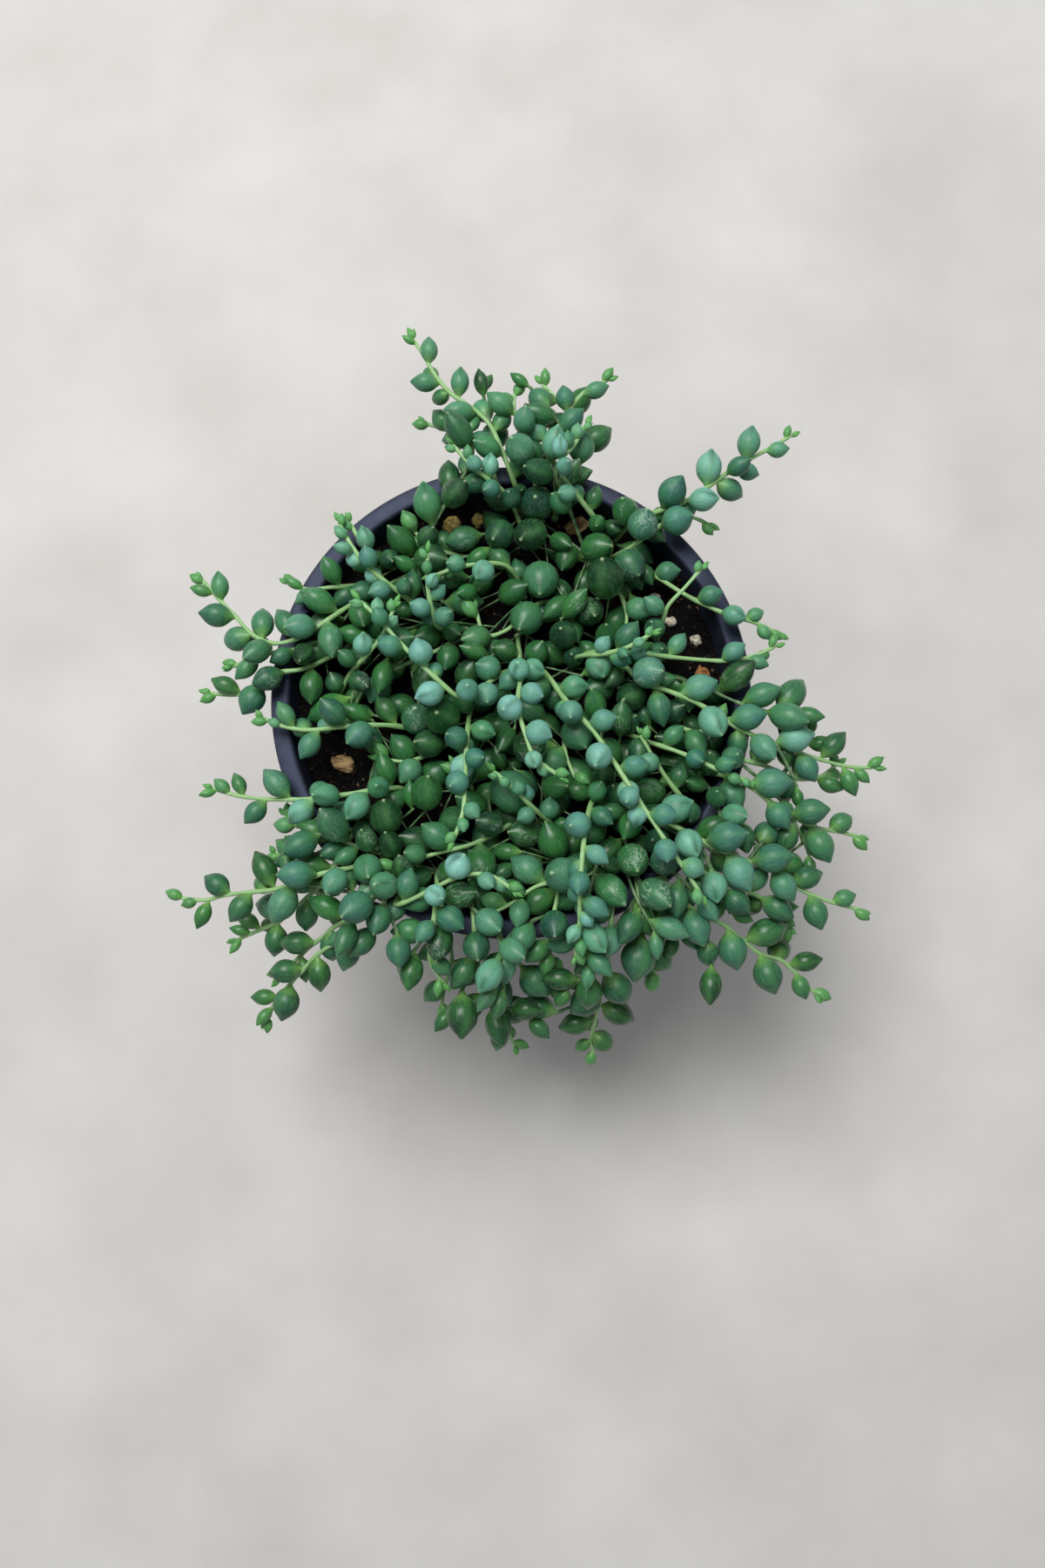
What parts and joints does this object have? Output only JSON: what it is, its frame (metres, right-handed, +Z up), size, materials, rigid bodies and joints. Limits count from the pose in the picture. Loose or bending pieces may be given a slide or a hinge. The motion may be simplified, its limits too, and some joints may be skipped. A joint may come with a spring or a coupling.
{
  "type": "potted string of pearls",
  "caption": "Trailing string of pearls plant in a round plastic nursery pot: thin stems strung with bead-like pointed leaves spill over the rim on every side.",
  "frame": {"origin": "centre of the pot's underside, on the surface that it stands on", "axes": "+Z up along the pot's axis, -Y is the near side in the picture and +X is its right"},
  "size_m": [0.2229, 0.2342, 0.1477],
  "materials": {
    "pot_plastic": "satin",
    "peat": "matte",
    "leaf": "satin",
    "pumice": "matte",
    "bark": "matte",
    "perlite": "matte",
    "coir": "matte"
  },
  "bodies": {
    "root": {"pot": "pot_plastic", "soil": "peat", "pumice_a": "pumice", "pumice_b": "pumice", "pumice_c": "pumice", "bark_a": "bark", "bark_b": "bark", "perlite_a": "perlite", "perlite_b": "perlite", "perlite_c": "perlite", "coir": "coir", "strand_far_a": "leaf", "strand_far_b": "leaf", "strand_far_c": "leaf", "strand_far_d": "leaf", "strand_far_e": "leaf", "strand_right_a": "leaf", "strand_right_b": "leaf", "strand_right_c": "leaf", "strand_right_d": "leaf", "strand_right_e": "leaf", "strand_right_f": "leaf", "strand_right_g": "leaf", "strand_near_a": "leaf", "strand_near_b": "leaf", "strand_near_c": "leaf", "strand_near_d": "leaf", "strand_near_e": "leaf", "strand_near_f": "leaf", "strand_near_g": "leaf", "strand_near_h": "leaf", "strand_left_a": "leaf", "strand_left_b": "leaf", "strand_left_c": "leaf", "strand_left_d": "leaf", "strand_left_e": "leaf", "strand_left_f": "leaf", "strand_left_g": "leaf", "strand_left_h": "leaf", "strand_left_i": "leaf", "strand_left_j": "leaf", "strand_crown_a": "leaf", "strand_crown_b": "leaf", "strand_crown_c": "leaf", "strand_crown_d": "leaf", "strand_crown_e": "leaf", "strand_crown_f": "leaf", "strand_crown_g": "leaf", "strand_crown_h": "leaf", "strand_crown_i": "leaf", "strand_low_a": "leaf", "strand_low_b": "leaf", "strand_low_c": "leaf", "strand_low_d": "leaf", "strand_low_e": "leaf", "strand_low_f": "leaf", "strand_low_g": "leaf", "strand_low_h": "leaf", "strand_low_i": "leaf"}
  },
  "joints": []
}
